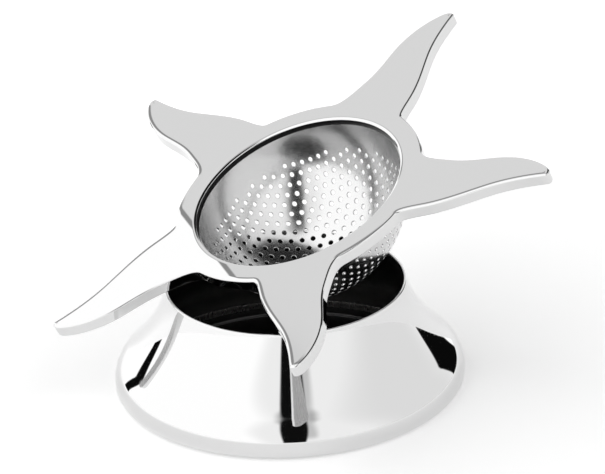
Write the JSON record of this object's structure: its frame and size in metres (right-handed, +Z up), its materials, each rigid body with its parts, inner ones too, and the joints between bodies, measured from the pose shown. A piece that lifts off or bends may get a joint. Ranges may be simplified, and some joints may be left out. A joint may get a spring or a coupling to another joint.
{
  "type": "tea strainer",
  "caption": "Sea-star tea strainer: a polished plate with curved arms round a perforated bowl, leaning in a flared drip stand.",
  "frame": {"origin": "centre of the stand's flat underside, which rests on the table", "axes": "+Z up along the stand's axis, +X to the right and +Y away from the front; the strainer leans down towards -X and a little towards -Y"},
  "size_m": [0.1175, 0.1199, 0.0683],
  "materials": {
    "polished_plate": "mirror-polished stainless steel",
    "perforated_sheet": "polished perforated stainless sheet",
    "braze_filler": "satin filler metal",
    "polished_stand": "mirror-polished stainless steel",
    "pan_sheet": "satin stainless sheet"
  },
  "bodies": {
    "stand": {"stand_shell": "polished_stand", "drip_pan": "pan_sheet", "pan_braze_ring": "braze_filler"},
    "strainer": {"star_plate": "polished_plate", "strainer_bowl": "perforated_sheet", "bowl_braze_ring": "braze_filler"}
  },
  "joints": [
    {"name": "strainer_lift", "type": "slide", "parent": "stand", "child": "strainer", "axis": [0, 0, 1], "range_m": [0, 0.06]}
  ]
}
